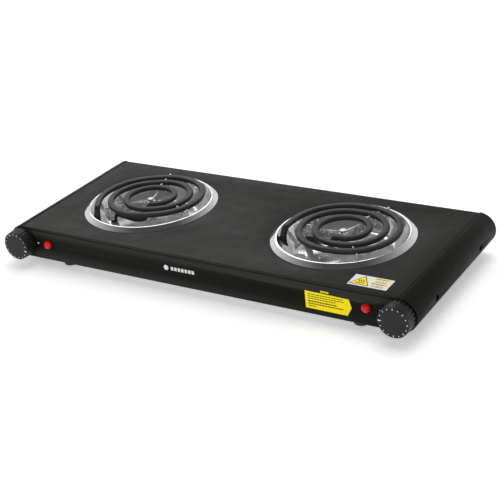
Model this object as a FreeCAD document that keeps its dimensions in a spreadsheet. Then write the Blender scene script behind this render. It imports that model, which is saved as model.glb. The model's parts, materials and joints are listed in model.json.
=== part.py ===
import FreeCAD, Part

import math
import os
import re

import Sketcher

V = FreeCAD.Vector

# Double electric hot plate: a low folded-steel case with half-round ends, two chromed drip
# bowls, two spiral tube elements on three-armed supports and a thermostat knob at each end.
# Millimetres. X runs along the case, +Y to its back, +Z up. The origin is on the table, in the
# middle of the whole object's footprint.

SIZES = (
    # The case and its sheet
    ("case_width", 540.0, "across both half-round ends"),
    ("case_depth", 214.0, "front panel face to rear panel face"),
    ("case_height", 39.5, "underside to top plate"),
    ("gauge", 0.8, "steel sheet of the case"),
    ("seam_gap", 0.9, "between top plate and side cover"),
    ("fit_gap", 0.2, "between sheets that slide into each other"),
    ("cover_overhang", 1.0, "side cover past the panels"),
    ("cover_tuck", 12.0, "side cover's flange under the top plate"),
    ("cover_foot", 28.0, "side cover's flange along the underside"),
    ("lip_height", 2.2, "folded edge of the top plate"),
    ("edge_round", 1.0, "outer bend of the top plate"),
    ("reveal_gap", 1.2, "groove under the top plate's edge"),
    ("reveal_depth", 1.6, "how far that groove goes in"),
    ("ledge_width", 10.0, "panel's upper flange, under the top plate"),
    ("return_width", 7.0, "panel's lower flange"),
    ("access_radius", 3.75, "screw access hole in a side cover"),
    ("access_front", 48.5, "front access hole, from the front panel"),
    ("access_rear", 168.0, "rear access hole, from the front panel"),
    ("access_rise", 18.4, "access holes above the underside"),
    ("rail_gauge", 1.0, "sheet of the side rails"),
    ("vent_length", 60.0, "slot in the bottom plate"),
    ("vent_width", 4.0, "slot in the bottom plate"),
    ("vent_pitch", 10.0, "between slots"),
    ("vent_rows", 9, "slots under one burner"),
    # Feet
    ("foot_height", 9.5, "underside of the case above the table"),
    ("foot_radius", 10.0, "foot at the case"),
    ("foot_taper", 1.5, "foot is this much smaller at the table"),
    ("foot_spread", 394.0, "between left and right feet"),
    ("foot_inset", 18.0, "feet in from the front and rear faces"),
    # Fasteners
    ("screw_radius", 1.5, "small machine screw"),
    ("screw_head", 3.1, "its head radius"),
    ("head_height", 2.0, "its head height"),
    ("screw_gap", 0.1, "clearance around a screw"),
    ("screw_length", 7.0, "under the head"),
    # Burners
    ("burner_spread", 265.2, "between burner centres"),
    ("rim_radius", 82.3, "outer edge of the bowl's rim"),
    ("rim_slope", 5.8, "sloping outer band of the rim"),
    ("crest_width", 2.3, "top of the rim"),
    ("crest_height", 5.0, "rim above the plate"),
    ("throat_radius", 73.0, "bowl at plate level"),
    ("floor_radius", 57.0, "flat floor of the bowl"),
    ("bowl_depth", 20.0, "floor below the plate"),
    ("bowl_gauge", 0.6, "sheet of the bowl"),
    ("opening_radius", 75.4, "hole in the top plate"),
    ("leg_gap", 1.1, "clearance of a coil leg in its bowl hole"),
    # Coil element
    ("tube_radius", 3.75, "sheathed heating tube"),
    ("coil_radius", 60.0, "outer turn at its back, to the tube's centre"),
    ("coil_flat", 8.0, "straight stretch at the back and front of the outer turns"),
    ("coil_pitch", 15.2, "between turns"),
    ("coil_height", 9.5, "tube's centre above the plate"),
    ("coil_turn_left", 30.0, "turn of the left coil about its centre, degrees"),
    ("coil_turn_right", 0.0, "turn of the right coil about its centre, degrees"),
    ("tail_run", 12.0, "straight run of the outer end"),
    ("tail_bend", 12.0, "bend that takes an end down"),
    ("dip_gap", 1.0, "inner end under the short blade"),
    ("leg_step", 14.0, "inner leg in from the outer leg"),
    ("leg_spread", 29.0, "inner leg behind the outer leg"),
    ("leg_depth", 26.0, "lower end of the legs below the plate"),
    # Coil support
    ("blade_gauge", 1.2, "upright blades"),
    ("blade_height", 9.5, "blade under the turns"),
    ("blade_clear", 1.8, "long blades' ends from the bowl's throat"),
    ("heel_length", 10.0, "foot at the end of the short blade"),
    ("tab_gap", 2.0, "tab clear of the tube on each side"),
    ("tab_height", 4.6, "tab above the blade"),
    ("support_turn_left", 35.0, "turn of the left support, degrees"),
    ("support_turn_right", 0.0, "turn of the right support, degrees"),
    ("hub_radius", 5.0, "where the blades meet"),
    ("post_radius", 4.0, "post down to the bowl's floor"),
    ("bolt_radius", 2.0, "bolt through the post"),
    # Terminals under a bowl
    ("bush_radius", 6.0, "ceramic bush"),
    ("bush_neck", 4.9, "bush through its bracket"),
    ("bush_reach", 3.0, "bush below the end of the tube"),
    ("pin_radius", 1.6, "cold pin of the element"),
    ("pin_length", 8.0, "pin below the tube"),
    ("bracket_gauge", 1.0, "terminal and thermostat brackets"),
    # Thermostats and knobs
    ("shaft_radius", 3.0, "thermostat spindle"),
    ("shaft_gap", 0.05, "running clearance of the spindle"),
    ("thermostat_side", 22.0, "thermostat body, square"),
    ("thermostat_depth", 24.0, "thermostat body, front to back"),
    ("blade_width", 6.3, "thermostat's connection blades"),
    ("blade_length", 9.0, "thermostat's connection blades"),
    ("blade_shift", 5.0, "each blade off the spindle's axis, inwards and up or down"),
    ("thermostat_screw", 12.9, "its screws either side of the spindle"),
    ("knob_reach", 17.0, "knob face ahead of the front panel"),
    ("knob_gap", 2.6, "knob's back edge ahead of the front panel"),
    ("knob_face", 17.6, "radius of the knob's face"),
    ("knob_skirt", 18.5, "radius at its back edge"),
    ("knob_wall", 2.2, "wall of the knob"),
    ("knob_edge", 0.7, "rounded edge of the face"),
    ("flute_count", 24, "grooves round the knob"),
    ("flute_radius", 1.7, "of a groove"),
    ("flute_depth", 0.9, "of a groove"),
    ("boss_radius", 5.6, "hub that grips the spindle"),
    # Indicator lamps
    ("lamp_spread", 425.4, "between lamps"),
    ("lamp_rise", 20.6, "lamps above the underside"),
    ("lens_radius", 5.2, "red lens"),
    ("lens_reach", 5.2, "lens ahead of the panel"),
    ("lens_stem", 4.1, "lens behind the panel, radius"),
    ("lamp_length", 12.0, "lamp holder behind the panel"),
    # Supply
    ("gland_reach", 8.0, "cord gland behind the rear panel"),
    ("gland_radius", 8.5, "outside of the gland"),
    ("gland_neck", 6.5, "gland through the panel"),
    ("cord_radius", 3.6, "bore of the gland"),
    ("gland_nut", 4.0, "gland's nut inside the panel"),
    ("block_width", 36.0, "terminal block"),
    ("block_depth", 16.0, "terminal block"),
    ("block_height", 11.0, "terminal block"),
    ("block_inset", 34.0, "terminal block in from the rear face"),
    ("wire_radius", 1.2, "insulated internal lead"),
    ("wire_rise", 4.2, "leads above the bottom plate"),
    ("shield_side", 118.0, "heat shield, square"),
    ("shield_gauge", 0.5, "heat shield"),
    ("shield_rise", 1.2, "heat shield above the bottom plate"),
)

# Places that follow from the sizes. Each is written once, in the sheet's own names.
PLACES = {
    "end_radius": "case_height / 2",
    "end_x": "case_width / 2 - end_radius",
    "whole_depth": "knob_reach + case_depth + gland_reach",
    "front_y": "knob_reach - whole_depth / 2",
    "rear_y": "front_y + case_depth",
    "under_z": "foot_height",
    "top_z": "foot_height + case_height",
    "axis_z": "foot_height + end_radius",
    "floor_z": "under_z + 2 * gauge",
    "panel_top": "top_z - lip_height - reveal_gap",
    "cover_inner": "end_radius - gauge",
    "rail_left": "end_x - 8",
    "rail_right": "end_x + 9",
    "burner_x": "burner_spread / 2",
    "burner_y": "front_y + case_depth / 2",
    "foot_x": "foot_spread / 2",
    "foot_front": "front_y + foot_inset",
    "foot_rear": "rear_y - foot_inset",
    "lamp_x": "lamp_spread / 2",
    "blade_top": "coil_height - tube_radius",
    "blade_low": "blade_top - blade_height",
    "coil_side": "coil_radius + coil_flat / 2",
    "dip_drop": "blade_height + 2 * tube_radius + dip_gap",
    "dip_bend": "0.56 * dip_drop",
    "blade_reach": "throat_radius - blade_clear",
    "tab_width": "coil_pitch - 2 * (tube_radius + tab_gap)",
    "blade_short": "coil_side - tube_radius - tab_gap",
    "bush_height": "leg_depth + bush_reach - bowl_depth - bowl_gauge - bracket_gauge",
    "bowl_under": "-bowl_depth - bowl_gauge",
    "bracket_under": "bowl_under - bracket_gauge",
    "block_y": "rear_y - block_inset",
}

SIDES = (("left", -1), ("right", 1))

doc = FreeCAD.newDocument("HotPlate")
sheet = doc.addObject("Spreadsheet::Sheet", "Sizes")
for row, (alias, amount, note) in enumerate(SIZES, start=1):
    sheet.set("A%d" % row, alias)
    sheet.set("B%d" % row, str(amount))
    sheet.setAlias("B%d" % row, alias)
    sheet.set("C%d" % row, note)
doc.recompute()

PLACE_WORD = re.compile(r"\b(%s)\b" % "|".join(PLACES))
SIZE_WORD = re.compile(r"\b(%s)\b" % "|".join(alias for alias, amount, note in SIZES))
subparts = []


def full(text):
    """A size's expression with every place worked out down to cells of the sheet."""
    text = str(text)
    while PLACE_WORD.search(text):
        text = PLACE_WORD.sub(lambda found: "(%s)" % PLACES[found.group(1)], text)
    return SIZE_WORD.sub(r"Sizes.\1", text)


def size(text):
    """The number that an expression stands for now."""
    return float(sheet.evalExpression(full(text)))


def bind(item, name, text):
    """Hold one property of an object to an expression."""
    item.setExpression(name, full(text))


def keep(item, label, x="0", y="0", z="0", turn=0.0):
    """Name a finished sub-part, put it in its place and list it for writing."""
    item.Label = label
    item.Placement = FreeCAD.Placement(V(size(x), size(y), size(z)), FreeCAD.Rotation(V(0, 0, 1), turn))
    if item.TypeId != "Part::Feature":
        bind(item, "Placement.Base.x", x)
        bind(item, "Placement.Base.y", y)
        bind(item, "Placement.Base.z", z)
    subparts.append(item)
    return item


# ---------------------------------------------------------------- sketches and solid features


def new_body(name):
    return doc.addObject("PartDesign::Body", name)


def origin_part(body, role):
    return [item for item in body.Origin.OriginFeatures if item.Role == role][0]


def new_sketch(body, plane, offset, turn=0.0):
    """A sketch on one of the body's own planes; turn swings an upright plane about Z."""
    sketch = body.newObject("Sketcher::SketchObject", "Sketch")
    sketch.AttachmentSupport = [(origin_part(body, plane), "")]
    sketch.MapMode = "FlatFace"
    sketch.AttachmentOffset = FreeCAD.Placement(V(0, 0, 0), FreeCAD.Rotation(V(0, 1, 0), turn))
    bind(sketch, "AttachmentOffset.Base.z", offset)
    return sketch


def hold(sketch, kind, item, point, text):
    """One driven distance from the sketch's origin to a point."""
    number = sketch.addConstraint(Sketcher.Constraint(kind, -1, 1, item, point, size(text)))
    sketch.setExpression("Constraints[%d]" % number, full(text))


def draw_outline(sketch, points):
    """A closed straight-sided outline whose corners are held by the sheet."""
    first = sketch.GeometryCount
    corners = [V(size(x), size(y), 0) for x, y in points]
    for start, end in zip(corners, corners[1:] + corners[:1]):
        sketch.addGeometry(Part.LineSegment(start, end))
    for step, (x, y) in enumerate(points):
        following = first + (step + 1) % len(points)
        sketch.addConstraint(Sketcher.Constraint("Coincident", first + step, 2, following, 1))
        hold(sketch, "DistanceX", first + step, 1, x)
        hold(sketch, "DistanceY", first + step, 1, y)


def draw_circle(sketch, x, y, radius):
    item = sketch.addGeometry(Part.Circle(V(size(x), size(y), 0), V(0, 0, 1), size(radius)))
    hold(sketch, "DistanceX", item, 3, x)
    hold(sketch, "DistanceY", item, 3, y)
    number = sketch.addConstraint(Sketcher.Constraint("Radius", item, size(radius)))
    sketch.setExpression("Constraints[%d]" % number, full(radius))


def volume_of(body):
    doc.recompute()
    return body.Shape.Volume if body.Tip else 0.0


def slab(body, plane, low, high, outlines=(), circles=(), cut=False, turn=0.0):
    """Add or cut the drawn shapes between two positions along the plane's own axis."""
    before = volume_of(body)
    start = "-(%s)" % high if plane == "XZ_Plane" else low
    sketch = new_sketch(body, plane, start, turn)
    for points in outlines:
        draw_outline(sketch, points)
    for x, y, radius in circles:
        draw_circle(sketch, x, y, radius)
    feature = body.newObject("PartDesign::Pocket" if cut else "PartDesign::Pad", "Cut" if cut else "Pad")
    feature.Profile = sketch
    feature.Reversed = cut
    bind(feature, "Length", "(%s) - (%s)" % (high, low))
    change = volume_of(body) - before
    if (change >= 0) if cut else (change <= 0):
        raise RuntimeError("%s changes nothing in %s" % (feature.Name, body.Name))
    return feature


def revolve(body, plane, axis, points):
    """Turn a closed outline once round an axis of its sketch."""
    sketch = new_sketch(body, plane, "0")
    draw_outline(sketch, points)
    feature = body.newObject("PartDesign::Revolution", "Revolution")
    feature.Profile = sketch
    feature.ReferenceAxis = (sketch, [axis])
    feature.Angle = 360.0
    doc.recompute()
    return feature


def repeat_round(body, feature, axis, count):
    """Repeat a feature evenly about one of the body's axes."""
    pattern = body.newObject("PartDesign::PolarPattern", "PolarPattern")
    pattern.Originals = [feature]
    pattern.Axis = (origin_part(body, axis), [""])
    pattern.Angle = 360.0
    bind(pattern, "Occurrences", count)
    body.Tip = pattern
    doc.recompute()


def repeat_along(body, feature, axis, length, count):
    """Repeat a feature evenly along one of the body's axes."""
    pattern = body.newObject("PartDesign::LinearPattern", "LinearPattern")
    pattern.Originals = [feature]
    pattern.Direction = (origin_part(body, axis), [""])
    bind(pattern, "Length", length)
    bind(pattern, "Occurrences", count)
    body.Tip = pattern
    doc.recompute()


def round_edges(body, radius, wanted):
    """Fillet the edges of the body that a test picks out."""
    doc.recompute()
    names = ["Edge%d" % (number + 1) for number, edge in enumerate(body.Shape.Edges) if wanted(edge)]
    base = body.Tip
    fillet = body.newObject("PartDesign::Fillet", "Fillet")
    fillet.Base = (base, names)
    bind(fillet, "Radius", radius)
    body.Tip = fillet
    doc.recompute()


def is_ring(edge, radius, height, axis="z"):
    """Whether an edge is a circle of this radius at this height along the axis."""
    if not isinstance(edge.Curve, Part.Circle):
        return False
    near_radius = abs(edge.Curve.Radius - size(radius)) < 0.01
    return near_radius and abs(getattr(edge.Curve.Center, axis) - size(height)) < 0.01


# ---------------------------------------------------------------- loose solids for fasteners


def cylinder(radius, length, x, y, z, direction=V(0, 0, 1)):
    """A plain cylinder from a point along a direction."""
    item = doc.addObject("Part::Cylinder", "Cylinder")
    bind(item, "Radius", radius)
    bind(item, "Height", length)
    item.Placement = FreeCAD.Placement(V(0, 0, 0), FreeCAD.Rotation(V(0, 0, 1), direction))
    bind(item, "Placement.Base.x", x)
    bind(item, "Placement.Base.y", y)
    bind(item, "Placement.Base.z", z)
    return item


def block(x, y, z, length, width, height):
    """A plain box from its low corner."""
    item = doc.addObject("Part::Box", "Box")
    bind(item, "Length", length)
    bind(item, "Width", width)
    bind(item, "Height", height)
    bind(item, "Placement.Base.x", x)
    bind(item, "Placement.Base.y", y)
    bind(item, "Placement.Base.z", z)
    return item


def joined(pieces):
    item = doc.addObject("Part::MultiFuse", "Joined")
    item.Shapes = pieces
    return item


def cut_from(base, tool):
    item = doc.addObject("Part::Cut", "Cut")
    item.Base = base
    item.Tool = tool
    return item


def group(label, pieces, **place):
    """Several like pieces of one kind, kept as separate solids in one node."""
    item = doc.addObject("Part::Compound", "Group")
    item.Links = pieces
    return keep(item, label, **place)


def screw(x, y, z, direction, length="screw_length"):
    """A machine screw whose head sits at the point, with its shank along the direction."""
    start = [x, y, z]
    for index, part in enumerate(direction):
        if part:
            start[index] = "(%s) - %g * head_height" % (start[index], part)
    head = cylinder("screw_head", "head_height", *start, direction=V(*direction))
    shank = cylinder("screw_radius", length, x, y, z, direction=V(*direction))
    return joined([head, shank])


# ---------------------------------------------------------------- the case


def make_top_plate():
    body = new_body("TopPlate")
    front, rear = "front_y", "rear_y"
    section = (
        (front, "top_z - lip_height"),
        (front, "top_z"),
        (rear, "top_z"),
        (rear, "top_z - lip_height"),
        ("rear_y - gauge", "top_z - lip_height"),
        ("rear_y - gauge", "top_z - gauge"),
        ("front_y + gauge", "top_z - gauge"),
        ("front_y + gauge", "top_z - lip_height"),
    )
    slab(body, "YZ_Plane", "-end_x + seam_gap / 2", "end_x - seam_gap / 2", [section])
    holes = [("%d * burner_x" % sign, "burner_y", "opening_radius") for side, sign in SIDES]
    slab(body, "XY_Plane", "top_z - 2 * gauge", "top_z + gauge", circles=holes, cut=True)

    def outer_bend(edge):
        middle = edge.CenterOfMass
        long_edge = edge.Length > size("end_x")
        at_face = min(abs(middle.y - size(front)), abs(middle.y - size(rear))) < 0.01
        return long_edge and at_face and abs(middle.z - size("top_z")) < 0.01

    round_edges(body, "edge_round", outer_bend)
    keep(body, "top_plate")


def make_panel(label, face, into):
    """Front or rear panel: flat face with round ends, a stepped ledge above and a flange below."""
    body = new_body("Panel")
    inside = "%s + %d * gauge" % (face, into)
    low, high = (face, inside) if into > 0 else (inside, face)
    step_x = "end_x - cover_foot"
    raised = "under_z + gauge + fit_gap / 2"
    outline = (
        ("-(%s)" % step_x, "under_z"),
        (step_x, "under_z"),
        (step_x, raised),
        ("end_x", raised),
        ("end_x", "panel_top"),
        ("-end_x", "panel_top"),
        ("-end_x", raised),
        ("-(%s)" % step_x, raised),
    )
    slab(body, "XZ_Plane", low, high, [outline])
    ends = [("%d * end_x" % sign, "axis_z", "cover_inner - fit_gap") for side, sign in SIDES]
    slab(body, "XZ_Plane", low, high, circles=ends)
    above = (
        ("-end_x - seam_gap / 2", "panel_top"),
        ("end_x + seam_gap / 2", "panel_top"),
        ("end_x + seam_gap / 2", "top_z"),
        ("-end_x - seam_gap / 2", "top_z"),
    )
    slab(body, "XZ_Plane", low, high, [above], cut=True)

    def inward(text):
        return "%s + %d * (%s)" % (face, into, text)

    ledge = (
        (inward("gauge / 2"), "panel_top - gauge"),
        (inward("reveal_depth + gauge"), "panel_top - gauge"),
        (inward("reveal_depth + gauge"), "top_z - 2 * gauge"),
        (inward("ledge_width"), "top_z - 2 * gauge"),
        (inward("ledge_width"), "top_z - gauge"),
        (inward("reveal_depth"), "top_z - gauge"),
        (inward("reveal_depth"), "panel_top"),
        (inward("gauge / 2"), "panel_top"),
    )
    slab(body, "YZ_Plane", "-end_x + seam_gap", "end_x - seam_gap", [ledge])
    flange = (
        (inward("gauge / 2"), "under_z"),
        (inward("return_width"), "under_z"),
        (inward("return_width"), "under_z + gauge"),
        (inward("gauge / 2"), "under_z + gauge"),
    )
    slab(body, "YZ_Plane", "-(%s)" % step_x, step_x, [flange])
    return body, low, high


def make_front_panel():
    body, low, high = make_panel("front_panel", "front_y", 1)
    holes = []
    for side, sign in SIDES:
        holes.append(("%d * lamp_x" % sign, "under_z + lamp_rise", "lens_stem + fit_gap"))
        holes.append(("%d * end_x" % sign, "axis_z", "shaft_radius + 1"))
        for offset in (-1, 1):
            place = "%d * end_x + %d * thermostat_screw" % (sign, offset)
            holes.append((place, "axis_z", "screw_radius + screw_gap"))
    slab(body, "XZ_Plane", low, high, circles=holes, cut=True)
    keep(body, "front_panel")


def make_rear_panel():
    body, low, high = make_panel("rear_panel", "rear_y", -1)
    slab(body, "XZ_Plane", low, high, circles=[("0", "axis_z", "gland_neck + fit_gap / 2")], cut=True)
    keep(body, "rear_panel")


def make_side_cover(side, sign):
    """Rolled half-round cover with a tucked flange at the top plate and one along the underside."""
    body = new_body("SideCover")
    low, high = "front_y - cover_overhang", "rear_y + cover_overhang"
    centre = "%d * end_x" % sign
    slab(body, "XZ_Plane", low, high, circles=[(centre, "axis_z", "end_radius")])
    slab(body, "XZ_Plane", low, high, circles=[(centre, "axis_z", "cover_inner")], cut=True)

    def across(text):
        return "%d * (end_x + %s)" % (sign, text)

    inner_half = (
        (across("seam_gap / 2"), "under_z - 1"),
        (across("seam_gap / 2"), "top_z + 1"),
        (across("-end_radius - 1"), "top_z + 1"),
        (across("-end_radius - 1"), "under_z - 1"),
    )
    slab(body, "XZ_Plane", low, high, [inner_half], cut=True)
    tuck_top = "top_z - gauge - fit_gap / 2"
    tuck_low = "top_z - 2 * gauge - fit_gap / 2"
    tuck = (
        (across("seam_gap / 2 + gauge"), tuck_low),
        (across("seam_gap / 2 + gauge"), "top_z - gauge / 2"),
        (across("seam_gap / 2"), "top_z - gauge / 2"),
        (across("seam_gap / 2"), tuck_top),
        (across("-cover_tuck"), tuck_top),
        (across("-cover_tuck"), tuck_low),
    )
    clear = "(ledge_width + 4)"
    slab(body, "XZ_Plane", "front_y + " + clear, "rear_y - " + clear, [tuck])
    foot = (
        (across("seam_gap"), "under_z"),
        (across("seam_gap"), "under_z + gauge"),
        (across("fit_gap - cover_foot"), "under_z + gauge"),
        (across("fit_gap - cover_foot"), "under_z"),
    )
    slab(body, "XZ_Plane", "front_y", "rear_y", [foot])
    holes = []
    for place in ("access_front", "access_rear"):
        holes.append(("front_y + " + place, "under_z + access_rise", "access_radius"))
    ends = sorted((across("cover_inner / 2"), across("end_radius + 1")), key=size)
    slab(body, "YZ_Plane", ends[0], ends[1], circles=holes, cut=True)
    keep(body, "side_cover_" + side)


def make_side_rail(side, sign):
    """Channel inside a round end; it stands on the bottom plate and takes the side screws."""
    body = new_body("SideRail")

    def across(text):
        return "%d * (%s)" % (sign, text)

    top, low_web = "axis_z + 8", "axis_z - 9"
    section = (
        (across("rail_left"), "floor_z"),
        (across("rail_left"), top),
        (across("rail_right"), top),
        (across("rail_right"), low_web),
        (across("rail_right - rail_gauge"), low_web),
        (across("rail_right - rail_gauge"), top + " - rail_gauge"),
        (across("rail_left + rail_gauge"), top + " - rail_gauge"),
        (across("rail_left + rail_gauge"), "floor_z"),
    )
    start = "front_y + gauge + bracket_gauge + thermostat_depth + 12"
    slab(body, "XZ_Plane", start, "rear_y - gauge", [section])
    holes = []
    for place in ("access_front", "access_rear"):
        holes.append(("front_y + " + place, "under_z + access_rise", "screw_radius + screw_gap"))
    ends = sorted((across("rail_right - 2 * rail_gauge"), across("rail_right + rail_gauge")), key=size)
    slab(body, "YZ_Plane", ends[0], ends[1], circles=holes, cut=True)
    keep(body, "side_rail_" + side)


def make_side_screws():
    screws = []
    for side, sign in SIDES:
        for place in ("access_front", "access_rear"):
            x, y = "%d * rail_right" % sign, "front_y + " + place
            screws.append(screw(x, y, "under_z + access_rise", (-sign, 0, 0)))
    group("side_screws", screws)


def make_bottom_plate():
    """Flat closing sheet, laid on the flanges of the panels and side covers."""
    body = new_body("BottomPlate")
    edge_x = "end_x - seam_gap"
    front, rear = "front_y + gauge + fit_gap", "rear_y - gauge - fit_gap"
    outline = (("-(%s)" % edge_x, front), (edge_x, front), (edge_x, rear), ("-(%s)" % edge_x, rear))
    low, high = "under_z + gauge", "floor_z"
    slab(body, "XY_Plane", low, high, [outline])
    holes = []
    for side, sign in SIDES:
        for place in ("foot_front", "foot_rear"):
            holes.append(("%d * foot_x" % sign, place, "screw_radius + screw_gap"))
    slab(body, "XY_Plane", low, high, circles=holes, cut=True)
    for side, sign in SIDES:
        first = "%d * burner_x - vent_pitch * (vent_rows - 1) / 2" % sign
        slot = (
            (first + " - vent_width / 2", "burner_y - vent_length / 2"),
            (first + " + vent_width / 2", "burner_y - vent_length / 2"),
            (first + " + vent_width / 2", "burner_y + vent_length / 2"),
            (first + " - vent_width / 2", "burner_y + vent_length / 2"),
        )
        feature = slab(body, "XY_Plane", low, high, [slot], cut=True)
        repeat_along(body, feature, "X_Axis", "vent_pitch * (vent_rows - 1)", "vent_rows")
    keep(body, "bottom_plate")


def make_foot(label, x, y):
    """Moulded rubber foot with a counterbored screw hole."""
    body = new_body("Foot")
    top = "foot_height + gauge"
    outline = (
        ("screw_radius + screw_gap", top),
        ("foot_radius", top),
        ("foot_radius - foot_taper", "0"),
        ("screw_head + 1", "0"),
        ("screw_head + 1", "foot_height / 2"),
        ("screw_radius + screw_gap", "foot_height / 2"),
    )
    revolve(body, "XZ_Plane", "V_Axis", outline)
    round_edges(body, "foot_taper / 2", lambda edge: is_ring(edge, "foot_radius - foot_taper", "0"))
    keep(body, label, x, y)


def make_feet():
    screws = []
    for side, sign in SIDES:
        x = "%d * foot_x" % sign
        for end, y in (("front", "foot_front"), ("rear", "foot_rear")):
            make_foot("foot_%s_%s" % (end, side), x, y)
            screws.append(screw(x, y, "foot_height / 2", (0, 0, 1), "foot_height / 2 + 3 * gauge + 1"))
    group("foot_screws", screws)


# ---------------------------------------------------------------- burners


def burner_place(sign):
    return {"x": "%d * burner_x" % sign, "y": "burner_y", "z": "top_z"}


def half_turns():
    """The coil's half turns, outside in: where each starts and ends on X, its reach and its way in Y."""
    flats = (1.0, 1.0, 1.0, 0.5, 0.0)
    start = -size("coil_side")
    turns = []
    for number, share in enumerate(flats):
        reach = size("coil_radius") - number * size("coil_pitch") / 2
        way = 1 if number % 2 == 0 else -1
        end = start + way * (2 * reach + share * size("coil_flat"))
        turns.append((start, end, reach, way))
        start = end
    return turns


def quarter(edges, centre, reach, along, out):
    """A quarter circle from one square direction to another."""
    lean = math.sqrt(0.5)
    middle = centre + along * (reach * lean) + out * (reach * lean)
    edges.append(Part.Arc(centre + along * reach, middle, centre + out * reach))


def coil_path():
    """The coil's centre line from the outer leg to the end of the level turns, at its burner."""
    tube_z = size("coil_height")
    bend, run, depth = size("tail_bend"), size("tail_run"), size("leg_depth")
    tail_x = -size("coil_side")
    edges = [Part.LineSegment(V(tail_x, -run - bend, -depth), V(tail_x, -run - bend, tube_z - bend))]
    quarter(edges, V(tail_x, -run, tube_z - bend), bend, V(0, -1, 0), V(0, 0, 1))
    edges.append(Part.LineSegment(V(tail_x, -run, tube_z), V(tail_x, 0, tube_z)))
    for start, end, reach, way in half_turns():
        side, out = V(way, 0, 0), V(0, way, 0)
        first, last = V(start + way * reach, 0, tube_z), V(end - way * reach, 0, tube_z)
        quarter(edges, first, reach, -side, out)
        if first.distanceToPoint(last) > 0.001:
            edges.append(Part.LineSegment(first + out * reach, last + out * reach))
        quarter(edges, last, reach, out, side)
    reach -= size("coil_pitch") / 2
    centre = V(end - reach, 0, tube_z)
    quarter(edges, centre, reach, V(1, 0, 0), V(0, -1, 0))
    return edges, centre + V(0, -reach, 0)


def swept(edges, radius):
    """A round solid along tangent lines and arcs."""
    wire = Part.Wire([edge.toShape() for edge in edges])
    first = edges[0]
    along = first.EndPoint - first.StartPoint
    ring = Part.Wire([Part.Circle(first.StartPoint, along, radius).toShape()])
    solid = wire.makePipeShell([ring], True, True)
    expected = math.pi * radius ** 2 * wire.Length
    if abs(solid.Volume / expected - 1) > 0.01:
        raise RuntimeError("swept tube has the wrong volume: %.3f" % (solid.Volume / expected))
    return solid


def step_line(edges, point, heading, length):
    end = point + heading * length
    edges.append(Part.LineSegment(point, end))
    return end


def step_bend(edges, point, heading, towards, radius, degrees):
    """A tangent arc that turns the heading towards a square direction; gives the new end and heading."""
    angle = math.radians(degrees)

    def at(part):
        return point + heading * (radius * math.sin(part)) + towards * (radius * (1 - math.cos(part)))

    edges.append(Part.Arc(point, at(angle / 2), at(angle)))
    return at(angle), heading * math.cos(angle) + towards * math.sin(angle)


def full_coil():
    """The whole tube's edges, and where its two legs come down."""
    edges, point = coil_path()
    down = V(0, 0, -1)
    heading = V(-1, 0, 0)
    bend = size("dip_bend")
    slope = math.degrees(math.acos(1 - size("dip_drop") / (2 * bend)))
    point, heading = step_bend(edges, point, heading, down, bend, slope)
    level = V(0, 0, 1) * math.cos(math.radians(slope)) - V(1, 0, 0) * math.sin(math.radians(slope))
    point, heading = step_bend(edges, point, heading, level, bend, slope)
    # Under the turns it swings towards its leg on a bend as wide as the pitch, then runs straight
    pitch = size("coil_pitch")
    leg = V(size("leg_step - coil_side"), size("leg_spread - tail_run - tail_bend"), point.z)
    to_leg = leg - point - V(0, pitch, 0)
    straight = math.sqrt(to_leg.Length ** 2 - pitch ** 2)
    swing = 270.0 - math.degrees(math.atan2(to_leg.y, to_leg.x) + math.atan2(straight, pitch))
    point, heading = step_bend(edges, point, heading, V(0, 1, 0), pitch, swing)
    point = step_line(edges, point, heading, straight - size("tail_bend"))
    point, heading = step_bend(edges, point, heading, down, size("tail_bend"), 90.0)
    inner_leg = V(point.x, point.y, 0)
    step_line(edges, point, heading, point.z + size("leg_depth"))
    outer_leg = V(edges[0].StartPoint.x, edges[0].StartPoint.y, 0)
    return edges, (outer_leg, inner_leg)


def leg_places():
    return [(str(leg.x), str(leg.y)) for leg in full_coil()[1]]


def make_coil(side, sign):
    item = doc.addObject("Part::Feature", "Coil")
    item.Shape = swept(full_coil()[0], size("tube_radius"))
    keep(item, "coil_element_" + side, turn=size("coil_turn_" + side), **burner_place(sign))


def make_bowl(side, sign):
    """Chromed drip bowl: sloping rim, rounded crest, dished wall and flat floor."""
    body = new_body("Bowl")
    outer_crest = "rim_radius - rim_slope"
    inner_crest = "rim_radius - rim_slope - crest_width"
    floor = "-bowl_depth"
    outline = (
        ("rim_radius", "0"),
        ("rim_radius", "bowl_gauge"),
        (outer_crest, "crest_height"),
        (inner_crest, "crest_height"),
        ("throat_radius", "0"),
        ("floor_radius", floor),
        ("bolt_radius + screw_gap", floor),
        ("bolt_radius + screw_gap", "bowl_under"),
        ("floor_radius + 0.4 * bowl_gauge", "bowl_under"),
        ("throat_radius + 1.2 * bowl_gauge", "-bowl_gauge / 2"),
        (inner_crest + " + 0.9 * bowl_gauge", "crest_height - bowl_gauge"),
        (outer_crest + " - 0.2 * bowl_gauge", "crest_height - bowl_gauge"),
        ("rim_radius - bowl_gauge", "0"),
    )
    revolve(body, "XZ_Plane", "V_Axis", outline)
    round_edges(body, "bowl_depth * 0.6", lambda edge: is_ring(edge, "floor_radius", floor))
    round_edges(body, "bowl_depth * 0.6 + bowl_gauge",
                lambda edge: is_ring(edge, "floor_radius + 0.4 * bowl_gauge", "bowl_under"))
    crest = "crest_height"
    round_edges(body, "crest_width / 2", lambda edge: is_ring(edge, inner_crest, crest))
    round_edges(body, "crest_width", lambda edge: is_ring(edge, outer_crest, crest))
    turn = math.radians(size("coil_turn_" + side))
    holes = []
    for leg in full_coil()[1]:
        x = leg.x * math.cos(turn) - leg.y * math.sin(turn)
        y = leg.x * math.sin(turn) + leg.y * math.cos(turn)
        holes.append((repr(x), repr(y), "tube_radius + leg_gap"))
    slab(body, "XY_Plane", "-bowl_depth * 2", "0", circles=holes, cut=True)
    keep(body, "drip_bowl_" + side, **burner_place(sign))


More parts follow.
